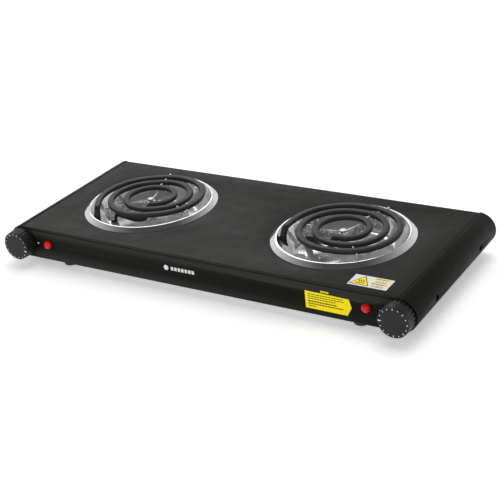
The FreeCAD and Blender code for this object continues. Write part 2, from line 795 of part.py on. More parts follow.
def turns_along(degrees):
    """Radii where the coil's level turns cross a ray from the burner's centre."""
    ray_x, ray_y = math.cos(math.radians(degrees)), math.sin(math.radians(degrees))
    crossings = []
    for start, end, reach, way in half_turns():
        if way * ray_y > 0:
            low, high = sorted((start + way * reach, end - way * reach))
            flat_x = reach / abs(ray_y) * ray_x
            if low <= flat_x <= high:
                crossings.append(reach / abs(ray_y))
            else:
                centre = min(max(flat_x, low), high)
                crossings.append(centre * ray_x + math.sqrt(reach ** 2 - (centre * ray_y) ** 2))
    return crossings


def make_support(side, sign):
    """Three upright blades with tabs between the turns, on a post that stands on the bowl's floor."""
    body = new_body("Support")
    coil_turn = size("coil_turn_" + side)
    support_turn = size("support_turn_" + side)
    slab(body, "XY_Plane", "-bowl_depth", "blade_top - 1", circles=[("0", "0", "post_radius")])
    slab(body, "XY_Plane", "blade_low", "blade_top - 1", circles=[("0", "0", "hub_radius")])
    half = "blade_gauge / 2"
    heel = (
        ("blade_short - heel_length - 2", "blade_low"),
        ("blade_short - heel_length", "-0.6 * bowl_depth"),
        ("blade_short - 3", "-0.6 * bowl_depth"),
        ("blade_short", "blade_low"),
    )
    long_end = (("blade_reach - 14", "blade_low"), ("blade_reach", "0"))
    arms = ((70.0, "blade_reach", long_end), (-50.0, "blade_reach", long_end), (190.0, "blade_short", heel))
    for degrees, reach, foot in arms:
        outline = [("0", "blade_low")]
        outline.extend(foot)
        tab_top = "blade_top + tab_height"
        tab_root = reach + " - tab_width"
        outline.extend(((reach, tab_top), (tab_root, tab_top), (tab_root, "blade_top")))
        crossings = turns_along(degrees + support_turn - coil_turn)
        for outer, inner in zip(crossings, crossings[1:]):
            middle = (outer + inner) / 2
            reach_out = middle - inner - size("tube_radius + tab_gap")
            for edge, level in ((1, "blade_top"), (1, tab_top), (-1, tab_top), (-1, "blade_top")):
                outline.append((repr(middle + edge * reach_out), level))
        outline.append(("0", "blade_top"))
        slab(body, "XZ_Plane", "-" + half, half, [outline], turn=degrees)
    bore = [("0", "0", "bolt_radius + screw_gap")]
    slab(body, "XY_Plane", "-bowl_depth", "blade_top", circles=bore, cut=True)
    keep(body, "coil_support_" + side, turn=support_turn, **burner_place(sign))


def make_support_bolt(side, sign):
    """Bolt down through the post and the bowl, with its nut under the bowl."""
    length = "blade_top + bowl_depth + bowl_gauge + 5"
    head = cylinder("bolt_radius * 1.8", "head_height", "0", "0", "blade_top")
    shank = cylinder("bolt_radius", length, "0", "0", "blade_top - (%s)" % length)
    nut = doc.addObject("Part::Prism", "Nut")
    nut.Polygon = 6
    bind(nut, "Circumradius", "bolt_radius * 2")
    bind(nut, "Height", "bolt_radius * 1.6")
    bind(nut, "Placement.Base.z", "bowl_under - bolt_radius * 1.6")
    thread = "bolt_radius + screw_gap / 5"
    hole = cylinder(thread, "bolt_radius * 4", "0", "0", "bowl_under - bolt_radius * 3")
    group("support_bolt_" + side, [joined([head, shank]), cut_from(nut, hole)], **burner_place(sign))


def make_terminals(side, sign):
    """Bracket under the bowl with two ceramic bushes, and the cold pins that come out of them."""
    turn = size("coil_turn_" + side)
    place = burner_place(sign)
    legs = leg_places()
    xs = [float(x) for x, y in legs]
    ys = [float(y) for x, y in legs]
    bracket = new_body("TerminalBracket")
    outline = (
        ("%r - bush_radius - 1" % min(xs), "%r - bush_radius" % min(ys)),
        ("%r + bush_radius + 22" % max(xs), "%r - bush_radius" % min(ys)),
        ("%r + bush_radius + 22" % max(xs), "%r + bush_radius" % max(ys)),
        ("%r - bush_radius - 1" % min(xs), "%r + bush_radius" % max(ys)),
    )
    slab(bracket, "XY_Plane", "bracket_under", "bowl_under", [outline])
    holes = [(x, y, "bush_neck + fit_gap / 2") for x, y in legs]
    slab(bracket, "XY_Plane", "bracket_under", "bowl_under", circles=holes, cut=True)
    keep(bracket, "terminal_bracket_" + side, turn=turn, **place)
    bushes, pins = [], []
    for x, y in legs:
        neck = cylinder("bush_neck", "bracket_gauge", x, y, "bracket_under")
        foot = cylinder("bush_radius", "bush_height", x, y, "bracket_under - bush_height")
        socket = cylinder("tube_radius + screw_gap", "leg_depth", x, y, "-leg_depth")
        hole = cylinder("pin_radius + screw_gap", "leg_depth", x, y, "-leg_depth - 10")
        bushes.append(cut_from(joined([neck, foot]), joined([socket, hole])))
        pins.append(cylinder("pin_radius", "pin_length", x, y, "-leg_depth - pin_length"))
    group("terminal_bushes_" + side, bushes, turn=turn, **place)
    group("terminal_pins_" + side, pins, turn=turn, **place)


def make_heat_shield(side, sign):
    """Thin bright tray between a burner and the bottom plate, on four pressed pips."""
    body = new_body("HeatShield")
    half = "shield_side / 2"
    outline = (("-" + half, "-" + half), (half, "-" + half), (half, half), ("-" + half, half))
    slab(body, "XY_Plane", "shield_rise", "shield_rise + shield_gauge", [outline])
    pips = [("%d * (%s - 8)" % (a, half), "%d * (%s - 8)" % (b, half), "3") for a in (-1, 1) for b in (-1, 1)]
    slab(body, "XY_Plane", "0", "shield_rise", circles=pips)
    keep(body, "heat_shield_" + side, "%d * burner_x" % sign, "burner_y", "floor_z")


# ---------------------------------------------------------------- thermostats, knobs and lamps


def spindle_place(sign):
    return {"x": "%d * end_x" % sign, "y": "front_y", "z": "axis_z"}


def make_thermostat(side, sign):
    place = spindle_place(sign)
    half = "thermostat_side / 2"
    back = "gauge + bracket_gauge"
    bracket = new_body("ThermostatBracket")
    wide, tall = "thermostat_screw + screw_radius + 0.9", "9"
    plate = (("-(%s)" % wide, "-9"), (wide, "-9"), (wide, tall), ("-(%s)" % wide, tall))
    slab(bracket, "XZ_Plane", "gauge", back, [plate])
    holes = [("0", "0", "shaft_radius + 1")]
    for offset in (-1, 1):
        holes.append(("%d * thermostat_screw" % offset, "0", "screw_radius + screw_gap"))
    slab(bracket, "XZ_Plane", "gauge", back, circles=holes, cut=True)
    keep(bracket, "thermostat_bracket_" + side, **place)

    body = new_body("Thermostat")
    square = (("-" + half, "-" + half), (half, "-" + half), (half, half), ("-" + half, half))
    slab(body, "XZ_Plane", back, back + " + thermostat_depth", [square])
    bore = [("0", "0", "shaft_radius + shaft_gap")]
    slab(body, "XZ_Plane", back, back + " + thermostat_depth * 0.7", circles=bore, cut=True)
    keep(body, "thermostat_body_" + side, **place)

    blades = []
    for level in (-1, 1):
        x = "%d * blade_shift - blade_width / 2" % -sign
        z = "%d * blade_shift - gauge / 2" % level
        blades.append(block(x, back + " + thermostat_depth", z, "blade_width", "blade_length", "gauge"))
    group("thermostat_blades_" + side, blades, **place)

    screws = []
    grip = "gauge + bracket_gauge + 3"
    for offset in (-1, 1):
        screws.append(screw("%d * thermostat_screw" % offset, "0", "0", (0, 1, 0), grip))
    group("thermostat_screws_" + side, screws, **place)

    shaft = new_body("Spindle")
    tip = "-knob_reach + knob_wall + fit_gap"
    round_bar = [("0", "0", "shaft_radius")]
    slab(shaft, "XZ_Plane", tip, back + " + thermostat_depth * 0.7 - fit_gap", circles=round_bar)
    flat = (
        ("-shaft_radius", "shaft_radius * 0.75"),
        ("shaft_radius", "shaft_radius * 0.75"),
        ("shaft_radius", "shaft_radius + 1"),
        ("-shaft_radius", "shaft_radius + 1"),
    )
    slab(shaft, "XZ_Plane", tip, "-knob_gap - 1", [flat], cut=True)
    keep(shaft, "thermostat_spindle_" + side, **place)


def make_knob(side, sign):
    """Hollow moulded knob with a fluted skirt and a hub that grips the spindle."""
    body = new_body("Knob")
    inner_front = "-knob_reach + knob_wall"
    outline = (
        ("-knob_gap", "knob_skirt"),
        ("-knob_reach", "knob_face"),
        ("-knob_reach", "0"),
        (inner_front, "0"),
        (inner_front, "shaft_radius + screw_gap / 5"),
        ("-knob_gap - 1", "shaft_radius + screw_gap / 5"),
        ("-knob_gap - 1", "boss_radius"),
        (inner_front, "boss_radius"),
        (inner_front, "knob_face - knob_wall"),
        ("-knob_gap", "knob_skirt - knob_wall"),
    )
    revolve(body, "YZ_Plane", "H_Axis", outline)
    flute = [("knob_skirt + flute_radius - flute_depth", "0", "flute_radius")]
    cut = slab(body, "XZ_Plane", "-knob_reach + knob_edge", "0", circles=flute, cut=True)
    repeat_round(body, cut, "Y_Axis", "flute_count")
    round_edges(body, "knob_edge", lambda edge: is_ring(edge, "knob_face", "-knob_reach", "y"))
    keep(body, "knob_" + side, **spindle_place(sign))


def make_lamp(side, sign):
    """Domed red lens pushed in from the front, and the neon lamp's holder behind the panel."""
    place = {"x": "%d * lamp_x" % sign, "y": "front_y", "z": "under_z + lamp_rise"}
    lens = new_body("Lens")
    slab(lens, "XZ_Plane", "-lens_reach", "0", circles=[("0", "0", "lens_radius")])
    slab(lens, "XZ_Plane", "0", "gauge + lamp_length / 2", circles=[("0", "0", "lens_stem")])
    round_edges(lens, "lens_reach * 0.86", lambda edge: is_ring(edge, "lens_radius", "-lens_reach", "y"))
    keep(lens, "lamp_lens_" + side, **place)
    holder = new_body("LampHolder")
    slab(holder, "XZ_Plane", "gauge", "gauge + lamp_length", circles=[("0", "0", "lens_radius + 1")])
    bore = [("0", "0", "lens_stem + fit_gap / 2")]
    slab(holder, "XZ_Plane", "gauge", "gauge + lamp_length * 0.6", circles=bore, cut=True)
    keep(holder, "lamp_holder_" + side, **place)


# ---------------------------------------------------------------- supply


def make_gland():
    """Cord gland through the rear panel, with its nut inside."""
    body = new_body("Gland")
    inner = "-gauge - gland_nut"
    outline = (
        ("gland_reach", "cord_radius"),
        ("gland_reach", "gland_radius - 2"),
        ("gland_reach / 2", "gland_radius"),
        ("0", "gland_radius"),
        ("0", "gland_neck"),
        ("-gauge", "gland_neck"),
        ("-gauge", "gland_radius"),
        (inner, "gland_radius"),
        (inner, "cord_radius"),
    )
    revolve(body, "YZ_Plane", "H_Axis", outline)
    keep(body, "cord_gland", "0", "rear_y", "axis_z")


def make_terminal_block():
    body = new_body("TerminalBlock")
    half_x, half_y = "block_width / 2", "block_depth / 2"
    outline = (("-" + half_x, "-" + half_y), (half_x, "-" + half_y), (half_x, half_y), ("-" + half_x, half_y))
    slab(body, "XY_Plane", "0", "block_height", [outline])
    wells = [("%d * block_width / 3" % way, "0", "screw_head + screw_gap") for way in (-1, 0, 1)]
    slab(body, "XY_Plane", "block_height / 2", "block_height", circles=wells, cut=True)
    place = {"x": "0", "y": "block_y", "z": "floor_z"}
    keep(body, "terminal_block", **place)
    screws = []
    for way in (-1, 0, 1):
        x = "%d * block_width / 3" % way
        screws.append(cylinder("screw_head", "block_height / 3", x, "0", "block_height / 2"))
    group("terminal_block_screws", screws, **place)


def make_earth_stud():
    """Stud welded to the bottom plate, with a washer and a nut."""
    washer = cylinder("screw_head + 1", "gauge", "0", "0", "0")
    stud = cylinder("screw_radius", "9", "0", "0", "gauge")
    place = {"x": "block_width", "y": "block_y", "z": "floor_z"}
    group("earth_stud", [joined([washer, stud])], **place)


def lead_path(points):
    """Straight runs joined by tangent arcs as large as their two runs allow."""
    corners = [V(*point) for point in points]
    edges = []
    start = corners[0]
    for before, corner, after in zip(corners, corners[1:], corners[2:]):
        come, leave = corner - before, after - corner
        half_turn = come.getAngle(leave) / 2
        shorter = min(come.Length, leave.Length)
        radius = 0.45 * shorter / math.tan(half_turn)
        come.normalize()
        leave.normalize()
        cut_back = 0.45 * shorter
        arc_start, arc_end = corner - come * cut_back, corner + leave * cut_back
        inwards = leave - come
        inwards.normalize()
        depth = radius / math.cos(half_turn) - radius
        edges.append(Part.LineSegment(start, arc_start))
        edges.append(Part.Arc(arc_start, corner + inwards * depth, arc_end))
        start = arc_end
    edges.append(Part.LineSegment(start, corners[-1]))
    return edges


def make_lead(label, points):
    item = doc.addObject("Part::Feature", "Lead")
    item.Shape = swept(lead_path(points), size("wire_radius"))
    keep(item, label)


def burner_pins(side, sign):
    """Where the outer and inner pins of a burner stand, on the plan."""
    turn = math.radians(size("coil_turn_" + side))
    pins = []
    for leg in full_coil()[1]:
        x = leg.x * math.cos(turn) - leg.y * math.sin(turn)
        y = leg.x * math.sin(turn) + leg.y * math.cos(turn)
        pins.append((sign * size("burner_x") + x, size("burner_y") + y))
    return pins


def make_leads():
    """Insulated leads on the bottom plate, four to a side."""
    level = size("floor_z + wire_rise")
    upper = level + 2.4 * size("wire_radius")
    block_y = size("block_y - block_depth / 2")
    post = size("block_width / 3")
    blade_back = size("front_y + gauge + bracket_gauge + thermostat_depth + blade_length")
    blade_z = size("axis_z")
    shift = size("blade_shift")
    pin = size("pin_radius")
    lamp_y = size("front_y + gauge + lamp_length")
    lamp_z = size("under_z + lamp_rise")
    centre_y = size("burner_y")
    for side, sign in SIDES:
        outer, inner = burner_pins(side, sign)
        blade_x = sign * size("end_x - blade_shift - blade_width / 2")
        lamp_x = sign * size("lamp_x")
        foot_x = sign * size("foot_x")

        # Supply from the terminal block to the lower blade of the thermostat
        low_y = blade_back - 2.0
        supply = (
            (sign * post, block_y, level),
            (sign * post, block_y - 17.0, level),
            (sign * post * 4, centre_y + 32.0, level),
            (foot_x - sign * 8.0, centre_y + 32.0, level),
            (foot_x + sign * 24.0, centre_y - 15.0, level),
            (foot_x + sign * 27.0, low_y + 14.0, level),
            (foot_x + sign * 34.0, low_y, blade_z - shift),
            (blade_x, low_y, blade_z - shift),
        )
        make_lead("lead_supply_" + side, supply)

        # Switched lead from the upper blade to the coil's inner pin
        high_y = blade_back - 4.0
        way = sign if sign > 0 else 0
        start = (inner[0] + way * pin, inner[1] - (1 - way) * pin, level)
        bend = (inner[0] + sign * 14.0, inner[1] - 16.0, level)
        switched = (
            start,
            (start[0] + way * 10.0, start[1] - (1 - way) * 8.0, level),
            bend,
            (foot_x - sign * 12.0, high_y, level),
            (foot_x + sign * 10.0, high_y, level + 5.0),
            (foot_x + sign * 33.0, high_y, blade_z + shift),
            (blade_x, high_y, blade_z + shift),
        )
        make_lead("lead_switched_" + side, switched)

        # Return from the coil's outer pin to the middle of the terminal block
        neutral = (
            (outer[0] - way * pin, outer[1] + (1 - way) * pin, upper),
            (outer[0] - way * 12.0, outer[1] + (1 - way) * 14.0, upper),
            (sign * post * 3 + (way - 1) * 60.0, centre_y + 16.0, upper),
            (sign * post * 1.4, centre_y + 40.0, upper),
            (sign * 2.5, block_y - 12.0, upper),
            (sign * 2.5, block_y, upper),
        )
        make_lead("lead_return_" + side, neutral)

        # Lamp lead, beside the switched lead
        lamp = (
            (lamp_x, lamp_y, lamp_z),
            (lamp_x, lamp_y + 7.0, lamp_z),
            (lamp_x + sign * 12.0, high_y - 2.7, blade_z + shift),
            (blade_x, high_y - 2.7, blade_z + shift),
        )
        make_lead("lead_lamp_" + side, lamp)


def write_parts():
    """Check everything, then write one file per sub-part."""
    doc.recompute()
    for item in doc.Objects:
        if "Invalid" in item.State or "Error" in item.State:
            raise RuntimeError("%s (%s) failed" % (item.Name, item.Label))
    os.makedirs("parts", exist_ok=True)
    for item in subparts:
        shape = item.Shape
        if shape.isNull() or not shape.isValid() or not shape.Solids:
            raise RuntimeError("%s has no valid shape" % item.Label)
        shape.exportStep("parts/%s.step" % item.Label)
    print("%d sub-parts" % len(subparts))


make_top_plate()
make_front_panel()
make_rear_panel()
make_bottom_plate()
make_feet()
for side, sign in SIDES:
    make_side_cover(side, sign)
    make_side_rail(side, sign)
    make_bowl(side, sign)
    make_coil(side, sign)
    make_support(side, sign)
    make_support_bolt(side, sign)
    make_terminals(side, sign)
    make_heat_shield(side, sign)
    make_thermostat(side, sign)
    make_knob(side, sign)
    make_lamp(side, sign)
make_side_screws()
make_gland()
make_terminal_block()
make_earth_stud()
make_leads()
write_parts()
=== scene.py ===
import json
import math

import bpy
from bpy.props import FloatProperty, FloatVectorProperty, IntProperty, PointerProperty
from bpy.types import Operator, Panel, PropertyGroup
from mathutils import Euler, Matrix, Vector


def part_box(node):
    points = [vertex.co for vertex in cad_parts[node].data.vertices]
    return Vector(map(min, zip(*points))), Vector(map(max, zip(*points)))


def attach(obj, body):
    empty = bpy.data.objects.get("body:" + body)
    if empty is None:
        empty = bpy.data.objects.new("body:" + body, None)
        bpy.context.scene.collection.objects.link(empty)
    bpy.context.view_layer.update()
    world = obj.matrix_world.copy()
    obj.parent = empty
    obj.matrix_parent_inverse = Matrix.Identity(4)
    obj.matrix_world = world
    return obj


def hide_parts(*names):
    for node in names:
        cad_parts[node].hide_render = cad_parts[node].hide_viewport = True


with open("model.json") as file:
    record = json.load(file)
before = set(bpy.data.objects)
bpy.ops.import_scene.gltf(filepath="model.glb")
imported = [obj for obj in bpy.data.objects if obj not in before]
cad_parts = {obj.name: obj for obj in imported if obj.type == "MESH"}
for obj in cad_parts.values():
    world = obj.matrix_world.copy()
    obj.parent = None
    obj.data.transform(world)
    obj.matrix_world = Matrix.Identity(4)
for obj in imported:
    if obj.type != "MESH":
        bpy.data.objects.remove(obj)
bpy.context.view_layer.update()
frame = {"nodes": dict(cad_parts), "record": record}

bl_info = {
    "name": "Hot Plate Finisher",
    "version": (1, 0, 0),
    "blender": (4, 5, 0),
    "location": "3D View > Sidebar > Hot Plate",
    "description": "Finishes a double electric hot plate: enamel, chrome, coils, knobs, lamps and labels",
    "category": "Add Mesh",
}

MM = 0.001
SIDES = ("left", "right")

RIGHT = Vector((1, 0, 0))
BACK = Vector((0, 1, 0))
UP = Vector((0, 0, 1))

# Places read from the frame, in metres
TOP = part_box("top_plate")[1][2]
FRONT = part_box("front_panel")[0][1]
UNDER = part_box("front_panel")[0][2]


def middle(node):
    """Centre of a node's box."""
    low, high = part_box(node)
    return (Vector(low) + Vector(high)) / 2


# ------------------------------------------------------------------ settings


class CaseSettings(PropertyGroup):
    paint: FloatVectorProperty(
        name="Paint", description="Powder coat", subtype="COLOR", size=3,
        default=(0.0105, 0.0098, 0.0082), min=0.0, max=1.0)
    grain: FloatProperty(
        name="Grain", description="Size of the powder coat's grain",
        default=0.55 * MM, unit="LENGTH")
    bevel: FloatProperty(
        name="Edge round", description="Rounding of sheet edges",
        default=0.18 * MM, unit="LENGTH")


class BurnerSettings(PropertyGroup):
    chrome: FloatVectorProperty(
        name="Chrome", description="Drip bowls", subtype="COLOR", size=3,
        default=(0.80, 0.805, 0.81), min=0.0, max=1.0)
    satin: FloatProperty(
        name="Satin", description="How metallic the well of a bowl is; less is paler",
        default=0.62, min=0.0, max=1.0)
    sheath: FloatVectorProperty(
        name="Sheath", description="Oxidised coil tube", subtype="COLOR", size=3,
        default=(0.018, 0.0172, 0.016), min=0.0, max=1.0)
    zinc: FloatVectorProperty(
        name="Zinc", description="Galvanised coil supports", subtype="COLOR", size=3,
        default=(0.78, 0.785, 0.79), min=0.0, max=1.0)
    press: FloatProperty(
        name="Press", description="How far the turns' tops are pressed flat",
        default=1.5 * MM, unit="LENGTH")


class KnobSettings(PropertyGroup):
    plastic: FloatVectorProperty(
        name="Plastic", description="Knob moulding", subtype="COLOR", size=3,
        default=(0.011, 0.011, 0.0105), min=0.0, max=1.0)
    scale_radius: FloatProperty(
        name="Scale radius", description="Circle that the knob's marks stand on",
        default=15.4 * MM, unit="LENGTH")
    steps: IntProperty(name="Steps", description="Marks round a knob", default=16, min=4)
    digit_height: FloatProperty(
        name="Digit height", description="Height of a number on the scale",
        default=2.3 * MM, unit="LENGTH")
    ink: FloatVectorProperty(
        name="Ink", description="Printed marks", subtype="COLOR", size=3,
        default=(0.80, 0.80, 0.80), min=0.0, max=1.0)


class StudioSettings(PropertyGroup):
    eye: FloatVectorProperty(
        name="Camera place", description="Where the camera stands", subtype="TRANSLATION", size=3,
        default=(0.7097, -1.0344, 0.6240), unit="LENGTH")
    azimuth: FloatProperty(
        name="Azimuth", description="Heading of the view, left of +Y",
        default=math.radians(34.14), subtype="ANGLE")
    elevation: FloatProperty(
        name="Elevation", description="How far the view looks down",
        default=math.radians(26.08), subtype="ANGLE")
    roll: FloatProperty(
        name="Roll", description="Turn about the view's own axis",
        default=math.radians(-6.32), subtype="ANGLE")
    lens: FloatProperty(name="Lens", description="Focal length in millimetres", default=84.88)
    key_power: FloatProperty(
        name="Key light", description="Light behind the left end, mirrored in the chrome",
        default=5.5, unit="POWER")
    front_power: FloatProperty(
        name="Front light", description="Small light ahead of the object", default=3.0, unit="POWER")
    top_power: FloatProperty(
        name="Top light", description="Wide light overhead, unseen in the chrome",
        default=24.0, unit="POWER")
    horizon: FloatVectorProperty(
        name="Horizon", description="Surround at eye level", subtype="COLOR", size=3,
        default=(0.99, 0.99, 0.98), min=0.0, max=1.0)
    zenith: FloatVectorProperty(
        name="Zenith", description="Surround overhead", subtype="COLOR", size=3,
        default=(0.09, 0.09, 0.09), min=0.0, max=1.0)
    floor: FloatVectorProperty(
        name="Floor", description="Pale floor", subtype="COLOR", size=3,
        default=(0.92, 0.92, 0.92), min=0.0, max=1.0)


# ------------------------------------------------------------------ modelling by operator


def deselect_all():
    if bpy.context.object and bpy.context.object.mode != "OBJECT":
        bpy.ops.object.mode_set(mode="OBJECT")
    bpy.ops.object.select_all(action="DESELECT")


def activate(piece):
    deselect_all()
    piece.select_set(True)
    bpy.context.view_layer.objects.active = piece


def apply_place(piece):
    activate(piece)
    bpy.ops.object.transform_apply(location=True, rotation=True, scale=True)


def modify(piece, kind, **values):
    """Add a modifier, set it up and apply it."""
    activate(piece)
    modifier = piece.modifiers.new(kind.title(), kind)
    for name, value in values.items():
        setattr(modifier, name, value)
    bpy.ops.object.modifier_apply(modifier=modifier.name)


def smooth(piece, degrees=32.0):
    activate(piece)
    bpy.ops.object.shade_smooth_by_angle(angle=math.radians(degrees))


def refined(node, name, bevel, segments=2, join=0.9):
    """A copy of a CAD node with its triangles merged, its flats made whole and its edges rounded."""
    source = frame["nodes"][node]
    piece = source.copy()
    piece.data = source.data.copy()
    piece.name = name
    piece.parent = None
    piece.matrix_world = Matrix.Identity(4)
    bpy.context.scene.collection.objects.link(piece)
    activate(piece)
    bpy.ops.mesh.customdata_custom_splitnormals_clear()
    bpy.ops.object.mode_set(mode="EDIT")
    bpy.ops.mesh.select_all(action="SELECT")
    bpy.ops.mesh.remove_doubles(threshold=0.004 * MM)
    bpy.ops.mesh.dissolve_limited(angle_limit=math.radians(join))
    bpy.ops.object.mode_set(mode="OBJECT")
    if bevel:
        modify(piece, "BEVEL", width=bevel, segments=segments, limit_method="ANGLE",
               angle_limit=math.radians(35), harden_normals=False)
    smooth(piece)
    return piece


def finish(piece, material, body, replaces=()):
    """Give a piece its material, its body and what it stands for."""
    piece.data.materials.clear()
    piece.data.materials.append(material)
    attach(piece, body)
    if replaces:
        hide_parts(*replaces)


def dress(node, material):
    """A better material on a CAD node that keeps its own shape."""
    for slot in frame["nodes"][node].material_slots:
        slot.material = material


def joined(name, pieces):
    """One piece out of several."""
    deselect_all()
    for piece in pieces:
        piece.select_set(True)
    bpy.context.view_layer.objects.active = pieces[0]
    bpy.ops.object.join()
    pieces[0].name = name
    return pieces[0]


# ------------------------------------------------------------------ materials


class Finish:
    """A procedural material on Object coordinates, built node by node."""

    def __init__(self, name, colour, roughness, metallic=0.0, **sockets):
        self.material = bpy.data.materials.new(name)
        self.material.use_nodes = True
        self.tree = self.material.node_tree
        self.shader = self.tree.nodes["Principled BSDF"]
        self.set("Base Color", tuple(colour) + (1.0,))
        self.set("Roughness", roughness)
        self.set("Metallic", metallic)
        for socket, value in sockets.items():
            self.set(socket.replace("_", " "), value)
        self.place = self.node("ShaderNodeTexCoord").outputs["Object"]

    def set(self, socket, value):
        self.shader.inputs[socket].default_value = value

    def node(self, kind, **values):
        item = self.tree.nodes.new(kind)
        for name, value in values.items():
            setattr(item, name, value)
        return item

    def link(self, start, end):
        self.tree.links.new(start, end)

    def stretched(self, scale):
        """Object coordinates scaled unevenly, for streaks."""
        mapping = self.node("ShaderNodeMapping")
        mapping.inputs["Scale"].default_value = scale
        self.link(self.place, mapping.inputs["Vector"])
        return mapping.outputs["Vector"]

    def noise(self, size, detail=2.0, roughness=0.5, place=None, distortion=0.0):
        """Noise whose features are about this size, in metres."""
        item = self.node("ShaderNodeTexNoise")
        item.inputs["Scale"].default_value = 1.0 / size
        item.inputs["Detail"].default_value = detail
        item.inputs["Roughness"].default_value = roughness
        item.inputs["Distortion"].default_value = distortion
        self.link(place or self.place, item.inputs["Vector"])
        return item.outputs["Fac"]

    def cells(self, size):
        """Random colours in cells of about this size, in metres."""
        item = self.node("ShaderNodeTexVoronoi")
        item.inputs["Scale"].default_value = 1.0 / size
        self.link(self.place, item.inputs["Vector"])
        return item.outputs["Color"]

    def between(self, value, low, high, start=0.0, end=1.0):
        """A value's range moved to low..high."""
        item = self.node("ShaderNodeMapRange")
        item.inputs["From Min"].default_value = start
        item.inputs["From Max"].default_value = end
        item.inputs["To Min"].default_value = low
        item.inputs["To Max"].default_value = high
        self.link(value, item.inputs["Value"])
        return item.outputs["Result"]

    def ramp(self, value, *stops):
        """Colours along a value."""
        item = self.node("ShaderNodeValToRGB")
        elements = item.color_ramp.elements
        while len(elements) < len(stops):
            elements.new(0.5)
        for element, (position, colour) in zip(elements, stops):
            element.position = position
            element.color = tuple(colour) + (1.0,)
        self.link(value, item.inputs["Fac"])
        return item.outputs["Color"]

    def mix(self, amount, first, second, blend="MIX"):
        """Two colours mixed by a value."""
        item = self.node("ShaderNodeMix", data_type="RGBA", blend_type=blend)
        for socket, given in ((item.inputs[0], amount), (item.inputs[6], first), (item.inputs[7], second)):
            if isinstance(given, bpy.types.NodeSocket):
                self.link(given, socket)
            elif isinstance(given, (tuple, list)):
                socket.default_value = tuple(given) + (1.0,)
            else:
                socket.default_value = given
        return item.outputs[2]

    def colour(self, socket):
        self.link(socket, self.shader.inputs["Base Color"])

    def rough(self, socket):
        self.link(socket, self.shader.inputs["Roughness"])

    def bump(self, height, depth, strength=1.0, under=None):
        """Relief of this depth in metres, on top of any relief under it."""
        item = self.node("ShaderNodeBump")
        item.inputs["Distance"].default_value = depth
        item.inputs["Strength"].default_value = strength
        self.link(height, item.inputs["Height"])
        if under:
            self.link(under, item.inputs["Normal"])
        self.link(item.outputs["Normal"], self.shader.inputs["Normal"])
        return item.outputs["Normal"]


def shade(colour, factor):
    return tuple(part * factor for part in colour)


def powder_coat(name, paint, gloss, size):
    """Fine-textured black powder coat: pebbled, a little mottled, with a painted highlight lightening its
    edges.
    """
    item = Finish(name, paint, 0.5, Specular_IOR_Level=gloss)
    grain = item.noise(size, 3.0, 0.6)
    patches = item.noise(14 * MM, 3.0)
    coat = item.ramp(grain, (0.35, shade(paint, 0.82)), (0.65, shade(paint, 1.25)))
    # painted highlight: sharp edges found by pointiness are lightened towards six times the paint colour,
    # standing for the light their rounds catch
    edges = item.node("ShaderNodeNewGeometry").outputs["Pointiness"]
    edge_highlight = item.between(edges, 0.0, 0.6, 0.53, 0.60)
    item.colour(item.mix(edge_highlight, coat, shade(paint, 6.0)))
    item.rough(item.between(patches, 0.46, 0.54, 0.3, 0.7))
    ripple = item.bump(item.noise(3.5 * MM, 1.0), 0.02 * MM, 0.35)
    item.bump(grain, 0.03 * MM, 0.5, ripple)
    return item.material


def chrome_plate(settings):
    """Bright chrome on the rim, satin in the well below it, with faint wiping marks."""
    item = Finish("chrome_plate", settings.chrome, 0.07, 1.0)
    wipes = item.noise(9 * MM, 4.0, 0.6, distortion=0.6)
    height = item.node("ShaderNodeSeparateXYZ")
    item.link(item.place, height.inputs["Vector"])
    bright = item.between(height.outputs["Z"], 0.0, 1.0, TOP - 6 * MM, TOP)
    item.link(item.between(bright, settings.satin, 1.0), item.shader.inputs["Metallic"])
    rim = item.between(wipes, 0.06, 0.13, 0.35, 0.75)
    well = item.between(wipes, 0.09, 0.17, 0.35, 0.75)
    rough = item.node("ShaderNodeMix", data_type="FLOAT")
    item.link(bright, rough.inputs[0])
    item.link(well, rough.inputs[2])
    item.link(rim, rough.inputs[3])
    item.rough(rough.outputs[0])
    item.bump(item.noise(30 * MM, 1.0), 0.12 * MM, 0.25)
    return item.material


def spangled_zinc(settings):
    """Galvanised sheet with its crystal pattern."""
    zinc = tuple(settings.zinc)
    item = Finish("spangled_zinc", zinc, 0.3, 0.35)
    crystals = item.cells(2.6 * MM)
    fine = item.noise(0.9 * MM, 3.0)
    separate = item.node("ShaderNodeSeparateColor")
    item.link(crystals, separate.inputs["Color"])
    red = separate.outputs["Red"]
    tone = item.ramp(red, (0.1, shade(zinc, 0.45)), (0.55, zinc), (0.95, (1.0, 1.0, 1.0)))
    item.colour(item.mix(item.between(fine, 0.0, 0.45), tone, shade(zinc, 0.35)))
    item.rough(item.between(separate.outputs["Green"], 0.18, 0.5))
    item.bump(separate.outputs["Blue"], 0.05 * MM, 0.6)
    return item.material


def oxidised_sheath(settings):
    """Heating tube: dark satin oxide, scuffed lighter in places."""
    sheath = tuple(settings.sheath)
    item = Finish("oxidised_sheath", sheath, 0.45, 0.35, Specular_IOR_Level=0.5)
    cloud = item.noise(7 * MM, 4.0, 0.6)
    speck = item.noise(0.7 * MM, 2.0)
    tone = item.ramp(cloud, (0.3, shade(sheath, 0.6)), (0.55, sheath), (0.8, shade(sheath, 1.9)))
    item.colour(item.mix(item.between(speck, 0.0, 0.35, 0.45, 0.7), tone, shade(sheath, 2.6)))
    item.rough(item.between(cloud, 0.38, 0.55, 0.3, 0.7))
    item.bump(speck, 0.03 * MM, 0.5)
    return item.material


def moulded_plastic(name, colour, roughness, grain=0.35 * MM, **sockets):
    """Spark-textured moulding."""
    colour = tuple(colour)
    item = Finish(name, colour, roughness, **sockets)
    speckle = item.noise(grain, 2.0)
    broad = item.noise(6 * MM, 2.0)
    item.colour(item.ramp(speckle, (0.3, shade(colour, 0.85)), (0.7, shade(colour, 1.2))))
    item.rough(item.between(broad, roughness * 0.9, roughness * 1.12, 0.3, 0.7))
    item.bump(speckle, 0.02 * MM, 0.5)
    return item.material


